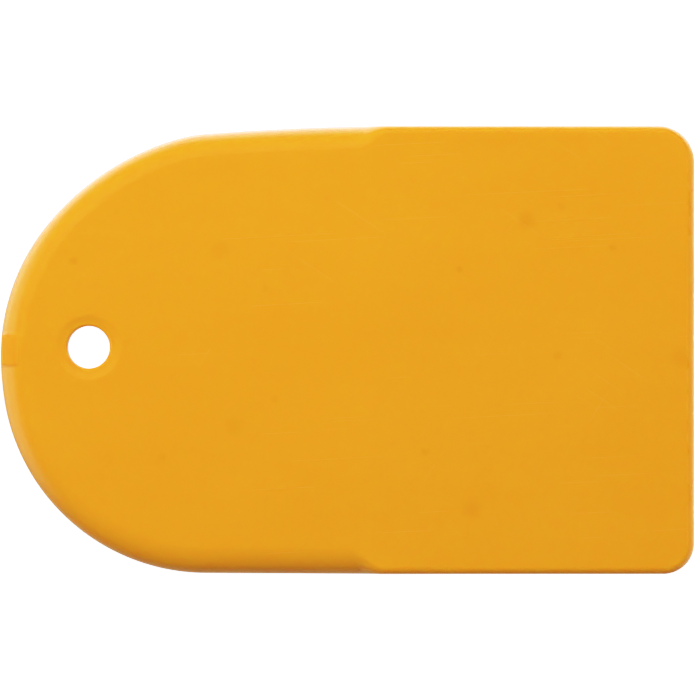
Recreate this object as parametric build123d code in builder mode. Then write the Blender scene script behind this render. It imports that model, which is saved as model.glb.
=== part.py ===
from build123d import *

# Hand squeegee for laying vinyl and film: one moulding with a thick rounded
# grip, a hang hole and a blade that tapers to a straight working edge.
# Millimetres. The part lies on its back face at Z = 0 and faces +Z. The round
# tip points to -X and the working edge to +X. The origin is under the middle.

# Overall size
length = 98.3
blade_width = 63.5
grip_thickness = 6.35
working_edge_thickness = 2.2

# Distances along the part, measured from the tip
grip_end = 51.0
taper_start = 52.6
blade_start = 54.0
hole_from_tip = 12.5
hole_offset = 0.4

# Edge roundings
grip_rounding = 3.1
blade_rounding = 1.0
hole_rounding = 0.4
upper_corner_radius = 5.1
lower_corner_radius = 4.4

# Round end: each half is a run of tangent arcs (radius, sweep in degrees)
tip_offset = -0.74
upper_arcs = [(29.2, 39.4), (37.1, 34.4), (19.7, 11.7), (360.0, 3.3)]
lower_arcs = [(41.2, 8.8), (29.0, 80.9)]

# Hang hole
hole_diameter = 6.0

# Gate pad on the tip, where the moulding runner was cut off flush
gate_width = 4.5
gate_reach = 4.0
gate_rounding = 2.75

tip_x = -length / 2
edge_x = length / 2
grip_end_x = grip_end - length / 2
taper_x = taper_start - length / 2
blade_start_x = blade_start - length / 2
half_width = blade_width / 2
mid_height = grip_thickness / 2


def arc_run(arcs, turn):
    """Chain tangent arcs from the tip; turn is -1 for the +Y half, +1 for the -Y half."""
    point = Vector(tip_x, tip_offset)
    heading = Vector(0, -turn)
    for radius, sweep in arcs:
        arc = JernArc(point, heading, radius, turn * sweep)
        point = arc @ 1
        heading = arc % 1
    reach = (grip_end_x - point.X) / heading.X
    side = Line(point, point + heading * reach)
    return side @ 1


def rim_edges(part, joined_x):
    """Edges round the front and back faces, without those on the joined end."""
    edges = part.edges().filter_by(Axis.Z, reverse=True)
    return edges.filter_by(lambda edge: abs(edge.center().X - joined_x) > 0.01)


# Grip: round-ended plate with both faces rounded over all the way round
with BuildPart() as grip:
    with BuildSketch() as outline:
        with BuildLine():
            upper_end = arc_run(upper_arcs, -1)
            lower_end = arc_run(lower_arcs, 1)
            Line(upper_end, lower_end)
        make_face()
    extrude(amount=grip_thickness)
    fillet(rim_edges(grip, grip_end_x), grip_rounding)

# Blade: even wedge from the grip thickness down to the working edge
with BuildPart() as blade:
    with BuildSketch(Plane.XZ):
        slope = (grip_thickness - working_edge_thickness) / 2 / (edge_x - taper_x)
        start_drop = slope * (blade_start_x - taper_x)
        end_drop = slope * (edge_x - taper_x)
        with BuildLine():
            Polyline(
                (blade_start_x, start_drop),
                (edge_x, end_drop),
                (edge_x, grip_thickness - end_drop),
                (blade_start_x, grip_thickness - start_drop),
                close=True,
            )
        make_face()
    extrude(amount=half_width, both=True)
    with BuildSketch():
        with Locations(((blade_start_x + edge_x) / 2, 0)):
            Rectangle(edge_x - blade_start_x, blade_width)
        corners = vertices().group_by(Axis.X)[-1].sort_by(Axis.Y)
        fillet(corners[1], upper_corner_radius)
        corners = vertices().group_by(Axis.Y)[0].sort_by(Axis.X)
        fillet(corners[-1], lower_corner_radius)
    extrude(amount=grip_thickness, mode=Mode.INTERSECT)
    fillet(rim_edges(blade, blade_start_x), blade_rounding)

# Shoulder: the wide rounding of the grip runs out into the narrow one of the blade
with BuildPart() as shoulder:
    share = (taper_x - grip_end_x) / (blade_start_x - grip_end_x)
    upper_y = upper_end.Y + (half_width - upper_end.Y) * share
    lower_y = lower_end.Y - (half_width + lower_end.Y) * share
    middle_rounding = grip_rounding + (blade_rounding - grip_rounding) * share
    with BuildSketch(Plane.YZ.offset(taper_x)) as middle:
        with Locations(((upper_y + lower_y) / 2, mid_height)):
            RectangleRounded(upper_y - lower_y, grip_thickness, middle_rounding)
    grip_face = grip.faces().sort_by(Axis.X)[-1]
    blade_face = blade.faces().sort_by(Axis.X)[0]
    loft([grip_face, middle.sketch.face(), blade_face], ruled=True)

# Gate pad: a short stretch of the tip's front edge with a tighter rounding, so it stands a little proud
with BuildPart() as gate:
    with BuildSketch(Plane.XY.offset(mid_height)):
        add(outline.sketch_local)
        with Locations((tip_x, 0)):
            Rectangle(gate_reach, gate_width, align=(Align.MIN, Align.CENTER), mode=Mode.INTERSECT)
    extrude(amount=mid_height)
    front_edges = gate.edges().group_by(Axis.Z)[-1]
    fillet(front_edges.filter_by(GeomType.CIRCLE), gate_rounding)

# Squeegee body: the one moulding, with its gate pad and hang hole
with BuildPart() as squeegee_body:
    add(grip.part)
    add(shoulder.part)
    add(blade.part)
    add(gate.part)
    with BuildSketch():
        with Locations((hole_from_tip - length / 2, hole_offset)):
            Circle(hole_diameter / 2)
    extrude(amount=grip_thickness, mode=Mode.SUBTRACT)
    hole_rims = squeegee_body.edges().filter_by(GeomType.CIRCLE)
    hole_rims = hole_rims.filter_by(lambda edge: abs(edge.radius - hole_diameter / 2) < 0.001)
    fillet(hole_rims, hole_rounding)

squeegee_body.part.label = "squeegee_body"
export_step(squeegee_body.part, "parts/squeegee_body.step")
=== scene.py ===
import math
import random

import bpy
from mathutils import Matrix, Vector, noise


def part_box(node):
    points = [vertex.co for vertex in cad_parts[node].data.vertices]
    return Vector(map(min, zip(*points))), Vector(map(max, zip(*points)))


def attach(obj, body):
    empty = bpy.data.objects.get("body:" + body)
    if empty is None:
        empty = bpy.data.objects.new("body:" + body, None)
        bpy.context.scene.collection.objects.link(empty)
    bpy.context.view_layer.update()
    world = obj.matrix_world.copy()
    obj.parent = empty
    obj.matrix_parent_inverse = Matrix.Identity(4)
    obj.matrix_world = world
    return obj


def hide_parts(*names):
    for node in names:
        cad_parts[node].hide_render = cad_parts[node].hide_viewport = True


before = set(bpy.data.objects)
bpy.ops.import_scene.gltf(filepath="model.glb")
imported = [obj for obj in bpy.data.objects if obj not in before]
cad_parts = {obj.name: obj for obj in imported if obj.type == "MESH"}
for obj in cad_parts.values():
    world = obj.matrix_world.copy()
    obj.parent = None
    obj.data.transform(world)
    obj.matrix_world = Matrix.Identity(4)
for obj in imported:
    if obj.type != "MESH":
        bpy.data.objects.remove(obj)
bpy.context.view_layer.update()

random.seed(7)
MM = 0.001

# Frame: the CAD body's box gives the length, the blade's width and the grip's thickness
low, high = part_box("squeegee_body")
mid_z = (low.z + high.z) / 2
grip_half = (high.z - low.z) / 2
edge_x = high.x
half_width = high.y

# The CAD model's other driving sizes
grip_end_x = low.x + 51.0 * MM
taper_x = low.x + 52.6 * MM
blade_start_x = low.x + 54.0 * MM
edge_half = 1.1 * MM
grip_rounding = 3.1 * MM
blade_rounding = 1.0 * MM
upper_corner = 5.1 * MM
lower_corner = 4.4 * MM
hole_x = low.x + 12.5 * MM
hole_y = 0.4 * MM
hole_radius = 3.0 * MM
hole_rounding = 0.4 * MM
gate_half = 2.25 * MM
gate_rounding = 2.75 * MM
tip_x = low.x
tip_y = -0.74 * MM
upper_arcs = [      # radius and degrees of each tangent arc, from the tip to the grip's side
    (29.2 * MM, 39.4),
    (37.1 * MM, 34.4),
    (19.7 * MM, 11.7),
    (360.0 * MM, 3.3),
]
lower_arcs = [
    (41.2 * MM, 8.8),
    (29.0 * MM, 80.9),
]

# Fine detail of the moulding
ridge_height = 0.03 * MM      # witness line where the two mould halves met
ridge_half = 0.06 * MM
gate_reach = 3.3 * MM         # the gate pad's rounding reaches further in than it drops
gate_side = 0.6 * MM          # width of the gate pad's sloping sides
gate_texture = 0.02 * MM      # depth and size of the cut-off pad's texture
gate_texture_size = 0.9 * MM
grip_reach = 3.7 * MM         # the grip's rounding reaches further in than it drops,
grip_reach_lean = 0.3 * MM    # most of all on the lower side
lower_run_out = (low.x + 49.3 * MM, low.x + 54.4 * MM)    # where the wide rounding runs out
upper_run_out = (low.x + 50.0 * MM, low.x + 55.0 * MM)
run_out_setback = 2.8 * MM    # how far in the blade's rounding lies where the run-outs start
band_end = low.x + 66.0 * MM  # from the run-outs to here the rim's mesh band narrows
lower_steepness = 1.3         # how much the blade's side deepens as it slants inwards
upper_steepness = 1.0
dish_width = 1.4 * MM         # shallow dish that the hang hole's rim sits in
dish_depth = 0.3 * MM
edge_waviness = 0.05 * MM     # how far the worn working edge wanders inwards
wander_size = 6 * MM
ripple_size = 1.5 * MM
ripple_share = 0.1
sink_depth = 0.02 * MM        # shallow shrink marks in the flat faces
sink_size = 17 * MM
nick_count = 5
nick_depth = 0.07 * MM
nick_half = 0.7 * MM

# Moulded plastic: colours are linear, sizes are those of the marks in it
plastic_deep = (0.846, 0.353, 0.0122)
plastic_light = (0.858, 0.368, 0.0144)
speck_tone = (0.80, 0.325, 0.010)
worn_tone = (0.90, 0.46, 0.05)
cut_tone = (0.848, 0.330, 0.008)
gloss_roughness = 0.25
cut_roughness = 0.7           # the cut-off gate pad: matt as far as cut_full from the tip,
cut_full = 2.0 * MM           # with the plastic's own gloss again from cut_length
cut_length = 2.6 * MM
cut_overlap = 0.1 * MM
flow_roughness = 0.08         # how much the flow marks, hairlines and wear add to the roughness
line_roughness = 0.05
wear_roughness = 0.18
refractive_index = 1.49
scatter_share = 0.5           # light that spreads inside the plastic, red the farthest
scatter_reach = (1.0, 0.3, 0.08)
scatter_scale = 1.2 * MM
cloud_size = 21 * MM
cloud_share = 0.6
flow_size = 4.5 * MM
flow_stretch = 5
flow_share = 0.4
speck_sizes = ((30 * MM, 1.2 * MM), (19 * MM, 0.5 * MM))      # spacing and radius
speck_wobble = 0.9 * MM       # size and depth of the waves in the specks' outlines
scratch_length = 22 * MM
scratch_width = 0.22 * MM
scratch_sets = ((3, 0.76), (-34, 0.82), (58, 0.83))      # direction and rarity of the lines
scratch_softness = 0.08
grip_use = 0.15               # how much of the hairlines' strength is left at the tip
peel_size = 1.3 * MM          # orange peel, then the fine grain of the surface
peel_height = 0.5
grain_size = 0.16 * MM
grain_height = 0.04
scratch_height = 0.015
wear_width = 1.4 * MM         # how far the wear of the working edge reaches up the blade
wear_patch = 3.5 * MM
wear_strength = 0.25
relief = 0.02 * MM            # height that a full step of bump stands for

# Studio. Each wall has the axis it stands on, where it starts and is full along that axis, the
# same for its height, and its light. Places are components of a direction's unit vector.
room_light = 0.24
floor_bounce = 0.36           # light from below, and the height where it starts and is full
bounce_height = (0.1, -0.6)
far_wall = ("Y", (-0.1, 0.7), (0.25, -0.3), 3.0)
left_wall = ("X", (-0.7, -0.9), (0.85, 0.4), 1.5)
right_wall = ("X", (0.3, 0.9), (0.5, 0.0), 1.7)
key_place = (-0.07, 0.235, 0.425)
key_width = 0.6
key_height = 0.3
key_power = 2.71
floor_reach = 6.0
floor_gap = 0.02 * MM
floor_grey = (0.25, 0.25, 0.25, 1)
floor_roughness = 0.9
floor_glow = 1.3

# Camera, and its response as pairs of scene light and the brightness shown for it
camera_distance = 1.6
camera_x = 0.35 * MM
view_width = (high.x - low.x) * 1.0094
sensor_width = 36
view_limit = 20
white_point = 1.28
tone_points = [
    (0.024, 0.016),
    (0.128, 0.10),
    (0.35, 0.35),
    (0.484, 0.50),
    (0.72, 0.70),
    (0.95, 0.85),
    (1.18, 0.925),
]

# Mesh fineness
arc_step = 0.8 * MM
fine_step = 0.2 * MM
shoulder_steps = 8
run_out_steps = 7
gate_steps = 18
corner_steps = 16
side_steps = 44
edge_steps = 150
profile_steps = 24
curve_steps = 60
hole_steps = 6
dish_rings = 8
face_rings = 40
ring_crowding = 1.25          # above 1, the rings lie closer together near the hole
crease_angle = math.radians(35)


# ---------------------------------------------------------------- outline

def arc_points(start, heading, radius, sweep, turn, steps):
    """Points along one arc, without its last, and the position and heading at its end."""
    x, y = start
    centre = (x - turn * radius * math.sin(heading), y + turn * radius * math.cos(heading))

    def at(angle):
        return (
            centre[0] + turn * radius * math.sin(angle),
            centre[1] - turn * radius * math.cos(angle),
        )

    points = []
    for step in range(steps):
        angle = heading + turn * sweep * step / steps
        points.append((*at(angle), angle))
    heading += turn * sweep
    return points, at(heading), heading


def round_end(arcs, turn):
    """Half of the round end: from the tip past the gate pad, along tangent arcs and a line."""
    first_radius = arcs[0][0]
    done = math.asin((gate_half + gate_side + turn * tip_y) / first_radius)
    start = (tip_x, tip_y)
    heading = -turn * math.pi / 2
    side, place, heading = arc_points(start, heading, first_radius, done, turn, gate_steps)
    for radius, degrees in arcs:
        sweep = math.radians(degrees) - done
        steps = max(2, round(radius * sweep / arc_step))
        points, place, heading = arc_points(place, heading, radius, sweep, turn, steps)
        side += points
        done = 0
    length = (grip_end_x - place[0]) / math.cos(heading)
    end = (grip_end_x, place[1] + length * math.sin(heading))
    side += line(place, end, max(1, round(length / arc_step)), heading)
    return finer_near_end(side + [(*end, heading)])


def finer_near_end(points):
    """The same points with fine steps near the end, where the grip's rounding runs out."""
    result = []
    for (x1, y1, heading), (x2, y2, _) in zip(points, points[1:]):
        steps = 1
        if x2 > lower_run_out[0]:
            steps = math.ceil((x2 - x1) / fine_step)
        result += line((x1, y1), (x2, y2), steps, heading)
    return result + points[-1:]


def line(start, end, steps, heading):
    """Points from start up to, but not including, end."""
    points = []
    for step in range(steps):
        share = step / steps
        x = start[0] + (end[0] - start[0]) * share
        y = start[1] + (end[1] - start[1]) * share
        points.append((x, y, heading))
    return points


def quarter_turn(centre, radius, start_angle):
    """Corner with a quarter turn to the left: points up to, but not including, its end."""
    points = []
    for step in range(corner_steps):
        angle = start_angle + math.pi / 2 * step / corner_steps
        x = centre[0] + radius * math.cos(angle)
        y = centre[1] + radius * math.sin(angle)
        points.append((x, y, angle + math.pi / 2))
    return points


def shoulder_y(end_y, side_y, x):
    """Y on the straight line between the grip's end and the blade's start."""
    share = (x - grip_end_x) / (blade_start_x - grip_end_x)
    return end_y + (side_y - end_y) * share


def card_outline():
    """Columns round the card, anticlockwise from the grip's upper end, and how many are the grip's.

    Each column is (x, y, heading).
    """
    upper = round_end(upper_arcs, -1)
    lower = round_end(lower_arcs, 1)
    upper_end = upper[-1]
    lower_end = lower[-1]
    taper_low = (taper_x, shoulder_y(lower_end[1], -half_width, taper_x))
    taper_high = (taper_x, shoulder_y(upper_end[1], half_width, taper_x))
    low_turn = edge_x - lower_corner
    high_turn = edge_x - upper_corner
    run_out_x = upper_run_out[1]

    grip = [(x, y, heading + math.pi) for x, y, heading in reversed(upper)]
    grip += lower[1:-1]

    low_shoulder = line(lower_end[:2], taper_low, shoulder_steps, 0.0)
    bottom = line(taper_low, (blade_start_x, -half_width), shoulder_steps, 0.0)
    bottom += line((blade_start_x, -half_width), (run_out_x, -half_width), run_out_steps, 0.0)
    bottom += line((run_out_x, -half_width), (low_turn, -half_width), side_steps, 0.0)
    bottom += quarter_turn((low_turn, lower_corner - half_width), lower_corner, -math.pi / 2)
    edge_start = (edge_x, lower_corner - half_width)
    edge_end = (edge_x, half_width - upper_corner)
    edge = line(edge_start, edge_end, edge_steps, math.pi / 2)
    top = quarter_turn((high_turn, half_width - upper_corner), upper_corner, 0.0)
    top += line((high_turn, half_width), (run_out_x, half_width), side_steps, math.pi)
    top += line((run_out_x, half_width), (blade_start_x, half_width), run_out_steps, math.pi)
    top += line((blade_start_x, half_width), taper_high, shoulder_steps, math.pi)
    high_shoulder = line(taper_high, upper_end[:2], shoulder_steps, math.pi)

    return grip + low_shoulder + bottom + edge + top + high_shoulder, len(grip)


# ---------------------------------------------------------------- shape of the moulding

nicks = []      # place along the working edge and share of the full depth
for _ in range(nick_count):
    nicks.append((random.uniform(-0.8, 0.8) * half_width, random.uniform(0.4, 1.0)))


def edge_wear(y):
    """How far the working edge is worn back at one place: a slow wander and a few small nicks."""
    wander = 0.5 + 0.5 * noise.noise(Vector((y / wander_size, 3.7, 0.0)))
    ripple = 0.5 + 0.5 * noise.noise(Vector((y / ripple_size, 8.1, 0.0)))
    worn = edge_waviness * ((1 - ripple_share) * wander + ripple_share * ripple)
    for place, depth in nicks:
        worn += nick_depth * depth * math.exp(-((y - place) / nick_half * 2) ** 2)
    return worn


def sink(x, y):
    """Shallow shrink marks, always below the nominal face."""
    wave = noise.noise(Vector((x / sink_size, y / sink_size, 0.5)))
    return sink_depth * (0.5 + 0.5 * wave)


def half_thickness(x):
    """Half of the card's thickness: even along the grip, then a wedge to the working edge."""
    if x <= taper_x:
        return grip_half
    return grip_half + (edge_half - grip_half) * (x - taper_x) / (edge_x - taper_x)


def round_drop(depth, reach, radius):
    """How far a quarter-ellipse rounding is below the face, at a depth in from the card's side."""
    share = 1 - min(depth, reach) / reach
    return radius * (1 - math.sqrt(1 - share * share))


def smooth(share):
    """S-curve from 0 to 1, level at both ends."""
    share = min(1.0, max(0.0, share))
    return share * share * (3 - 2 * share)


def rim_curve(x, y):
    """The rounding's section from the face down to the parting line, as (depth, drop) points.

    The grip has the wide rounding and the blade the narrow one. Across the shoulder the blade's
    rounding slants inwards and deepens until it lies wholly below the grip's.
    """
    reach = grip_reach - grip_reach_lean * y / half_width
    start, end = upper_run_out if y > 0 else lower_run_out
    steepness = upper_steepness if y > 0 else lower_steepness
    setback = run_out_setback * (1 - smooth((x - start) / (end - start)))
    narrowing = smooth((x - upper_run_out[1]) / (band_end - upper_run_out[1]))
    inner = reach + (blade_rounding - reach) * narrowing
    curve = []
    for step in range(curve_steps + 1):
        depth = inner * (1 - math.sin(math.pi / 2 * step / curve_steps))
        drop = round_drop(depth, blade_rounding + setback, blade_rounding + steepness * setback)
        if setback > 0:
            drop = min(drop, round_drop(depth, reach, grip_rounding))
        curve.append((depth, drop))
    return curve + [(0.0, half_thickness(x))]


def pad_curve():
    """The gate pad's section: like the grip's rounding but tighter, so it stands a little proud."""
    curve = [(grip_reach, 0.0)]
    for step in range(curve_steps + 1):
        depth = gate_reach * (1 - math.sin(math.pi / 2 * step / curve_steps))
        curve.append((depth, round_drop(depth, gate_reach, gate_rounding)))
    return curve + [(0.0, grip_half)]


def even_steps(curve, steps):
    """The curve at equal spacing along its length."""
    lengths = [0.0]
    for (d1, z1), (d2, z2) in zip(curve, curve[1:]):
        lengths.append(lengths[-1] + math.hypot(d2 - d1, z2 - z1))
    points = []
    k = 0
    for step in range(steps + 1):
        target = lengths[-1] * step / steps
        while k < len(curve) - 2 and lengths[k + 1] < target:
            k += 1
        share = (target - lengths[k]) / (lengths[k + 1] - lengths[k])
        points.append((
            curve[k][0] + (curve[k + 1][0] - curve[k][0]) * share,
            curve[k][1] + (curve[k + 1][1] - curve[k][1]) * share,
        ))
    return points


def gate_share(x, y):
    """1 on the gate pad and 0 away from it, with a smooth step across its sloping sides."""
    if x > 0:
        return 0.0
    return smooth((gate_half + gate_side / 2 - abs(y)) / gate_side)


def gate_relief(y, step):
    """The cut-off pad's slight unevenness, fading out where the pad meets the face and the side."""
    rough = noise.noise(Vector((y / gate_texture_size, step / 4, 5.0)))
    return gate_texture * max(0.0, rough) * math.sin(math.pi * step / profile_steps)


def column_profile(x, y, heading):
    """One column's points from the front face over the edge to the back face."""
    inward = (-math.sin(heading), math.cos(heading))
    worn = edge_wear(y) * max(0.0, -inward[0]) ** 4
    curve = even_steps(rim_curve(x, y), profile_steps)

    def place(depth, z):
        px = x + inward[0] * (depth + worn)
        py = y + inward[1] * (depth + worn)
        return (px, py, z)

    def on_side(depth, drop, side):
        px, py, _ = place(depth + ridge_height, 0)
        level = max(ridge_half, half_thickness(px) - drop - sink(px, py))
        return (px, py, mid_z + side * level)

    front = [on_side(depth, drop, 1) for depth, drop in curve]
    back = [on_side(depth, drop, -1) for depth, drop in reversed(curve)]
    pad = gate_share(x, y)
    if pad > 0:
        for step, (depth, drop) in enumerate(even_steps(pad_curve(), profile_steps)):
            on_pad = Vector(on_side(depth + gate_relief(y, step), drop, 1))
            front[step] = tuple(Vector(front[step]).lerp(on_pad, pad))
    return front + [place(0, mid_z)] + back


# ---------------------------------------------------------------- body mesh

def face_point(x, y, side):
    """A point on the front (side 1) or back (side -1) face."""
    return (x, y, mid_z + side * (half_thickness(x) - sink(x, y)))


def make_body():
    """The card as one closed mesh of quads.

    It has columns round the rim, rings round the hole and grids over the shoulder and the blade.
    """
    columns, grip_count = card_outline()
    count = len(columns)
    verts = []
    faces = []

    def add(x, y, z):
        verts.append((x, y, z))
        return len(verts) - 1

    rim = [[add(*point) for point in column_profile(*column)] for column in columns]
    depth = len(rim[0])
    for c in range(count):
        following = rim[(c + 1) % count]
        for r in range(depth - 1):
            faces.append((rim[c][r], rim[c][r + 1], following[r + 1], following[r]))

    half_corner = corner_steps // 2
    blade_steps = shoulder_steps + run_out_steps + side_steps + half_corner
    line_steps = count - grip_count - 2 * (shoulder_steps + blade_steps)

    def grid_between(left, right, bottom, top, side):
        """Quads filling four curves of vertices, with the inner points blended from all four."""
        wide = len(bottom) - 1
        tall = len(left) - 1
        grid = [[None] * (tall + 1) for _ in range(wide + 1)]
        for i in range(wide + 1):
            grid[i][0] = bottom[i]
            grid[i][tall] = top[i]
        for j in range(tall + 1):
            grid[0][j] = left[j]
            grid[wide][j] = right[j]
        ends = [Vector(verts[index]) for index in (bottom[0], top[0], bottom[-1], top[-1])]
        for i in range(1, wide):
            u = i / wide
            for j in range(1, tall):
                v = j / tall
                point = Vector(verts[bottom[i]]) * (1 - v) + Vector(verts[top[i]]) * v
                point += Vector(verts[left[j]]) * (1 - u) + Vector(verts[right[j]]) * u
                point -= (ends[0] * (1 - v) + ends[1] * v) * (1 - u)
                point -= (ends[2] * (1 - v) + ends[3] * v) * u
                grid[i][j] = add(*face_point(point.x, point.y, side))
        quads = []
        for i in range(wide):
            for j in range(tall):
                quads.append((grid[i][j], grid[i + 1][j], grid[i + 1][j + 1], grid[i][j + 1]))
        return quads

    def line_between(start, end, side):
        """Vertices in a straight line across the card."""
        indexes = [start]
        for step in range(1, line_steps):
            point = Vector(verts[start]).lerp(Vector(verts[end]), step / line_steps)
            indexes.append(add(*face_point(point.x, point.y, side)))
        return indexes + [end]

    dish_radius = hole_radius + hole_rounding + dish_width
    hole_rims = {}
    for side, row in ((1, 0), (-1, depth - 1)):
        loop = [rim[c][row] for c in range(count)]
        low_grip = grip_count
        low_taper = low_grip + shoulder_steps
        low_edge = low_taper + blade_steps
        high_edge = low_edge + line_steps
        high_taper = high_edge + blade_steps
        quads = []

        grip_line = line_between(loop[low_grip], loop[0], side)
        taper_line = line_between(loop[low_taper], loop[high_taper], side)
        low_shoulder = loop[low_grip:low_taper + 1]
        high_shoulder = [loop[c % count] for c in range(count, high_taper - 1, -1)]
        quads += grid_between(grip_line, taper_line, low_shoulder, high_shoulder, side)

        bottom = loop[low_taper:low_edge + 1]
        edge_line = loop[low_edge:high_edge + 1]
        top = loop[high_edge:high_taper + 1][::-1]
        quads += grid_between(taper_line, edge_line, bottom, top, side)

        outer = loop[:grip_count] + grip_line[:-1]
        rings = []
        for ring in range(face_rings):
            share = (ring / face_rings) ** ring_crowding
            current = []
            for index in outer:
                ox, oy, _ = verts[index]
                angle = math.atan2(oy - hole_y, ox - hole_x)
                inner_x = hole_x + dish_radius * math.cos(angle)
                inner_y = hole_y + dish_radius * math.sin(angle)
                current.append(add(*face_point(
                    inner_x + (ox - inner_x) * share,
                    inner_y + (oy - inner_y) * share,
                    side,
                )))
            rings.append(current)
        rings.append(outer)
        for ring in range(face_rings):
            for c in range(len(outer)):
                n = (c + 1) % len(outer)
                quads.append((
                    rings[ring][c],
                    rings[ring + 1][c],
                    rings[ring + 1][n],
                    rings[ring][n],
                ))

        if side < 0:
            quads = [tuple(reversed(quad)) for quad in quads]
        faces.extend(quads)
        hole_rims[side] = rings[0]

    # Hang hole: shallow dish, rounded rim, straight wall and the same again at the back
    level = grip_half - dish_depth
    dish = []
    for step in range(1, dish_rings + 1):
        share = step / dish_rings
        dish.append((dish_radius - dish_width * share, grip_half - dish_depth * smooth(share)))
    rounded = []
    for step in range(1, hole_steps + 1):
        angle = math.pi / 2 * step / hole_steps
        reach = hole_radius + hole_rounding * (1 - math.sin(angle))
        rounded.append((reach, level - hole_rounding * (1 - math.cos(angle))))
    half_wall = dish + rounded + [(hole_radius, (level - hole_rounding) * 0.5)]
    profile = half_wall + [(hole_radius, 0.0)] + [(reach, -z) for reach, z in reversed(half_wall)]
    wall = [hole_rims[1]]
    for reach, z in profile:
        ring = []
        for index in hole_rims[1]:
            x, y, _ = verts[index]
            angle = math.atan2(y - hole_y, x - hole_x)
            ring_x = hole_x + reach * math.cos(angle)
            ring_y = hole_y + reach * math.sin(angle)
            fading = max(0.0, (reach - hole_radius) / (dish_radius - hole_radius))
            shrink = sink(ring_x, ring_y) * fading * (1 if z > 0 else -1)
            ring.append(add(ring_x, ring_y, mid_z + z - shrink))
        wall.append(ring)
    wall.append(hole_rims[-1])
    for upper, lower in zip(wall, wall[1:]):
        for c in range(len(upper)):
            n = (c + 1) % len(upper)
            faces.append((lower[c], upper[c], upper[n], lower[n]))

    mesh = bpy.data.meshes.new("squeegee_card")
    mesh.from_pydata(verts, [], faces)
    mesh.validate()
    for polygon in mesh.polygons:
        polygon.use_smooth = True
    card = bpy.data.objects.new("squeegee_card", mesh)
    bpy.context.scene.collection.objects.link(card)
    mesh.set_sharp_from_angle(angle=crease_angle)
    return card


# ---------------------------------------------------------------- shader building blocks

def math_node(tree, operation, first, second=None):
    """One Math node; its inputs are numbers or other nodes' outputs."""
    node = tree.nodes.new("ShaderNodeMath")
    node.operation = operation
    for slot, value in enumerate((first, second)):
        if isinstance(value, (int, float)):
            node.inputs[slot].default_value = value
        elif value is not None:
            tree.links.new(value, node.inputs[slot])
    return node.outputs[0]


def ramp(tree, value, start, end):
    """A smooth 0 to 1 step while value goes from start to end."""
    node = tree.nodes.new("ShaderNodeMapRange")
    node.interpolation_type = "SMOOTHSTEP"
    tree.links.new(value, node.inputs["Value"])
    node.inputs["From Min"].default_value = start
    node.inputs["From Max"].default_value = end
    return node.outputs["Result"]


def turned(tree, place, degrees, scale):
    """Coordinates turned about Z and then scaled along each axis."""
    node = tree.nodes.new("ShaderNodeMapping")
    node.vector_type = "TEXTURE"
    tree.links.new(place, node.inputs["Vector"])
    node.inputs["Rotation"].default_value = (0, 0, math.radians(degrees))
    node.inputs["Scale"].default_value = scale
    return node.outputs["Vector"]


def noise_value(tree, place, size, detail):
    """Soft noise between 0 and 1 with features of one size."""
    node = tree.nodes.new("ShaderNodeTexNoise")
    tree.links.new(place, node.inputs["Vector"])
    node.inputs["Scale"].default_value = 1 / size
    node.inputs["Detail"].default_value = detail
    return node.outputs["Fac"]


def blend(tree, factor, first, second):
    """Mix of two colours, each a tuple or another node's output."""
    node = tree.nodes.new("ShaderNodeMix")
    node.data_type = "RGBA"
    tree.links.new(factor, node.inputs["Factor"])
    for name, colour in (("A", first), ("B", second)):
        socket = [entry for entry in node.inputs if entry.name == name and entry.type == "RGBA"][0]
        if isinstance(colour, tuple):
            socket.default_value = (*colour, 1)
        else:
            tree.links.new(colour, socket)
    return [entry for entry in node.outputs if entry.type == "RGBA"][0]


# ---------------------------------------------------------------- material

def specks(tree, place):
    """Small dark specks in the plastic, of two sizes, some fainter than others."""
    wobble = tree.nodes.new("ShaderNodeTexNoise")
    tree.links.new(place, wobble.inputs["Vector"])
    wobble.inputs["Scale"].default_value = 1 / speck_wobble
    shift = tree.nodes.new("ShaderNodeVectorMath")
    shift.operation = "MULTIPLY_ADD"
    tree.links.new(wobble.outputs["Color"], shift.inputs[0])
    shift.inputs[1].default_value = (speck_wobble, speck_wobble, 0)
    tree.links.new(place, shift.inputs[2])
    total = None
    for spacing, radius in speck_sizes:
        node = tree.nodes.new("ShaderNodeTexVoronoi")
        node.voronoi_dimensions = "2D"
        tree.links.new(shift.outputs[0], node.inputs["Vector"])
        node.inputs["Scale"].default_value = 1 / spacing
        edge = radius / spacing
        spot = ramp(tree, node.outputs["Distance"], 1.6 * edge, 0.3 * edge)
        shade = tree.nodes.new("ShaderNodeSeparateColor")
        tree.links.new(node.outputs["Color"], shade.inputs[0])
        spot = math_node(tree, "MULTIPLY", spot, shade.outputs[0])
        total = spot if total is None else math_node(tree, "MAXIMUM", total, spot)
    return total


def scratches(tree, place, axes):
    """Hairlines: most run with the stroke, along X, and they get fainter towards the grip."""
    total = None
    for degrees, limit in scratch_sets:
        along = turned(tree, place, degrees, (scratch_length, scratch_width, scratch_length))
        lines = ramp(tree, noise_value(tree, along, 1.0, 0), limit, limit + scratch_softness)
        total = lines if total is None else math_node(tree, "MAXIMUM", total, lines)
    use = math_node(tree, "ADD", ramp(tree, axes.outputs["X"], low.x, edge_x), grip_use)
    return math_node(tree, "MULTIPLY", total, use)


def gate_cut(tree, axes):
    """The matt, cut-off pad on the front half of the tip."""
    across = math_node(tree, "ABSOLUTE", axes.outputs["Y"])
    beside = ramp(tree, across, gate_half + cut_overlap, gate_half - 2 * cut_overlap)
    tip = ramp(tree, axes.outputs["X"], tip_x + cut_length, tip_x + cut_full)
    front = ramp(tree, axes.outputs["Z"], mid_z, mid_z + cut_overlap)
    return math_node(tree, "MULTIPLY", beside, math_node(tree, "MULTIPLY", tip, front))


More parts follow.
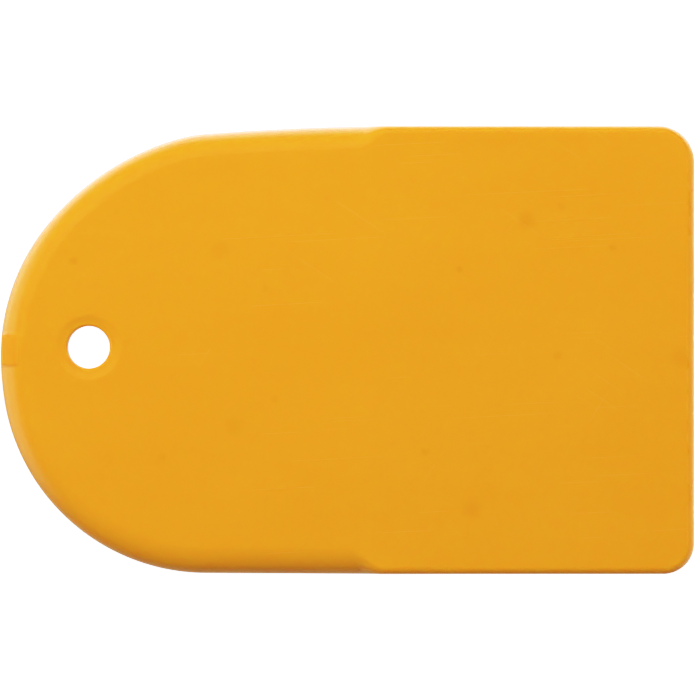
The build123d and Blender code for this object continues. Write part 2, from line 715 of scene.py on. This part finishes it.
def edge_scuff(tree, place, axes):
    """Patchy wear along the working edge."""
    near_edge = ramp(tree, axes.outputs["X"], edge_x - wear_width, edge_x - 0.2 * wear_width)
    patches = ramp(tree, noise_value(tree, place, wear_patch, 2), 0.30, 0.65)
    return math_node(tree, "MULTIPLY", near_edge, patches)


def plastic():
    """Deep yellow-orange moulding: cloudy flow marks, specks, hairlines and a worn working edge."""
    material = bpy.data.materials.new("moulded_plastic")
    material.use_nodes = True
    tree = material.node_tree
    shader = tree.nodes["Principled BSDF"]
    shader.inputs["IOR"].default_value = refractive_index
    shader.inputs["Subsurface Weight"].default_value = scatter_share
    shader.inputs["Subsurface Radius"].default_value = scatter_reach
    shader.inputs["Subsurface Scale"].default_value = scatter_scale
    place = tree.nodes.new("ShaderNodeTexCoord").outputs["Object"]
    axes = tree.nodes.new("ShaderNodeSeparateXYZ")
    tree.links.new(place, axes.inputs[0])

    cloud = noise_value(tree, place, cloud_size, 1)
    flow = noise_value(tree, turned(tree, place, 0, (flow_stretch, 1, 1)), flow_size, 3)
    scuff = edge_scuff(tree, place, axes)
    lines = scratches(tree, place, axes)
    cut = gate_cut(tree, axes)

    def part(value, amount):
        return math_node(tree, "MULTIPLY", value, amount)

    mottle = math_node(tree, "ADD", part(cloud, cloud_share), part(flow, flow_share))
    colour = blend(tree, ramp(tree, mottle, 0.25, 0.75), plastic_deep, plastic_light)
    colour = blend(tree, specks(tree, place), colour, speck_tone)
    colour = blend(tree, part(scuff, wear_strength), colour, worn_tone)
    colour = blend(tree, cut, colour, cut_tone)
    tree.links.new(colour, shader.inputs["Base Color"])

    rough = math_node(tree, "ADD", part(flow, flow_roughness), gloss_roughness - flow_roughness / 2)
    rough = math_node(tree, "ADD", rough, part(lines, line_roughness))
    rough = math_node(tree, "ADD", rough, part(scuff, wear_roughness))
    rough = math_node(tree, "ADD", rough, part(cut, cut_roughness - gloss_roughness))
    tree.links.new(rough, shader.inputs["Roughness"])

    peel = part(noise_value(tree, place, peel_size, 1), peel_height)
    grain = part(noise_value(tree, place, grain_size, 2), grain_height)
    height = math_node(tree, "ADD", peel, grain)
    height = math_node(tree, "SUBTRACT", height, part(lines, scratch_height))
    bump = tree.nodes.new("ShaderNodeBump")
    bump.inputs["Strength"].default_value = 1.0
    bump.inputs["Distance"].default_value = relief
    tree.links.new(height, bump.inputs["Height"])
    tree.links.new(bump.outputs["Normal"], shader.inputs["Normal"])
    return material


# ---------------------------------------------------------------- studio

def wall_light(tree, axes, wall):
    """Light from one bright wall of the room, fading out along one axis and upwards."""
    axis, across, height, strength = wall
    shape = math_node(
        tree,
        "MULTIPLY",
        ramp(tree, axes.outputs[axis], *across),
        ramp(tree, axes.outputs["Z"], *height),
    )
    return math_node(tree, "MULTIPLY", shape, strength)


def surroundings():
    """White room: dim overhead, with brighter walls and a lower half that stands for the floor.

    The wall on the +Y side is there only for reflections.
    """
    world = bpy.data.worlds.new("studio")
    world.use_nodes = True
    tree = world.node_tree
    background = tree.nodes["Background"]
    background.inputs["Color"].default_value = (1, 1, 1, 1)
    direction = tree.nodes.new("ShaderNodeTexCoord").outputs["Generated"]
    axes = tree.nodes.new("ShaderNodeSeparateXYZ")
    tree.links.new(direction, axes.inputs[0])
    mirrored = tree.nodes.new("ShaderNodeLightPath").outputs["Is Glossy Ray"]
    below = ramp(tree, axes.outputs["Z"], *bounce_height)
    strength = math_node(tree, "MULTIPLY", wall_light(tree, axes, far_wall), mirrored)
    for light in (
        wall_light(tree, axes, left_wall),
        wall_light(tree, axes, right_wall),
        math_node(tree, "MULTIPLY", below, floor_bounce),
        room_light,
    ):
        strength = math_node(tree, "ADD", strength, light)
    tree.links.new(strength, background.inputs["Strength"])
    bpy.context.scene.world = world


def key_light():
    """One large soft lamp above the upper left, aimed at the card."""
    data = bpy.data.lights.new("key", "AREA")
    data.shape = "RECTANGLE"
    data.size = key_width
    data.size_y = key_height
    data.energy = key_power
    light = bpy.data.objects.new("key", data)
    light.location = key_place
    light.rotation_euler = (-Vector(key_place)).to_track_quat("-Z", "Y").to_euler()
    light.visible_glossy = False
    bpy.context.scene.collection.objects.link(light)


def floor_sheet():
    """White sheet under the card, which neither reflects in it nor bounces light onto it."""
    mesh = bpy.data.meshes.new("floor")
    corners = [
        (-floor_reach, -floor_reach, 0),
        (floor_reach, -floor_reach, 0),
        (floor_reach, floor_reach, 0),
        (-floor_reach, floor_reach, 0),
    ]
    mesh.from_pydata(corners, [], [(0, 1, 2, 3)])
    floor = bpy.data.objects.new("floor", mesh)
    floor.location.z = low.z - floor_gap
    floor.visible_glossy = False
    floor.visible_diffuse = False
    bpy.context.scene.collection.objects.link(floor)
    material = bpy.data.materials.new("floor")
    material.use_nodes = True
    shader = material.node_tree.nodes["Principled BSDF"]
    shader.inputs["Base Color"].default_value = floor_grey
    shader.inputs["Roughness"].default_value = floor_roughness
    shader.inputs["Emission Color"].default_value = (1, 1, 1, 1)
    shader.inputs["Emission Strength"].default_value = floor_glow
    mesh.materials.append(material)


def camera():
    """Straight above, with the card's length across almost the whole width of the picture."""
    data = bpy.data.cameras.new("camera")
    data.sensor_width = sensor_width
    data.lens = sensor_width * camera_distance / view_width
    data.clip_end = view_limit
    cam = bpy.data.objects.new("camera", data)
    cam.location = (camera_x, 0, mid_z + camera_distance)
    bpy.context.scene.collection.objects.link(cam)
    bpy.context.scene.camera = cam


def camera_response():
    """Tone curve of an ordinary camera: it deepens the shades a little and eases into white."""
    settings = bpy.context.scene.view_settings
    settings.view_transform = "Standard"
    settings.use_curve_mapping = True
    mapping = settings.curve_mapping
    mapping.white_level = (white_point, white_point, white_point)
    curve = mapping.curves[3]
    curve.points[0].location = (0, 0)
    curve.points[1].location = (1, 1)
    for light, shown in tone_points:
        curve.points.new(light / white_point, shown)
    mapping.update()


card = make_body()
card.data.materials.append(plastic())
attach(card, "root")
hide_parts("squeegee_body")

surroundings()
key_light()
floor_sheet()
camera()
camera_response()
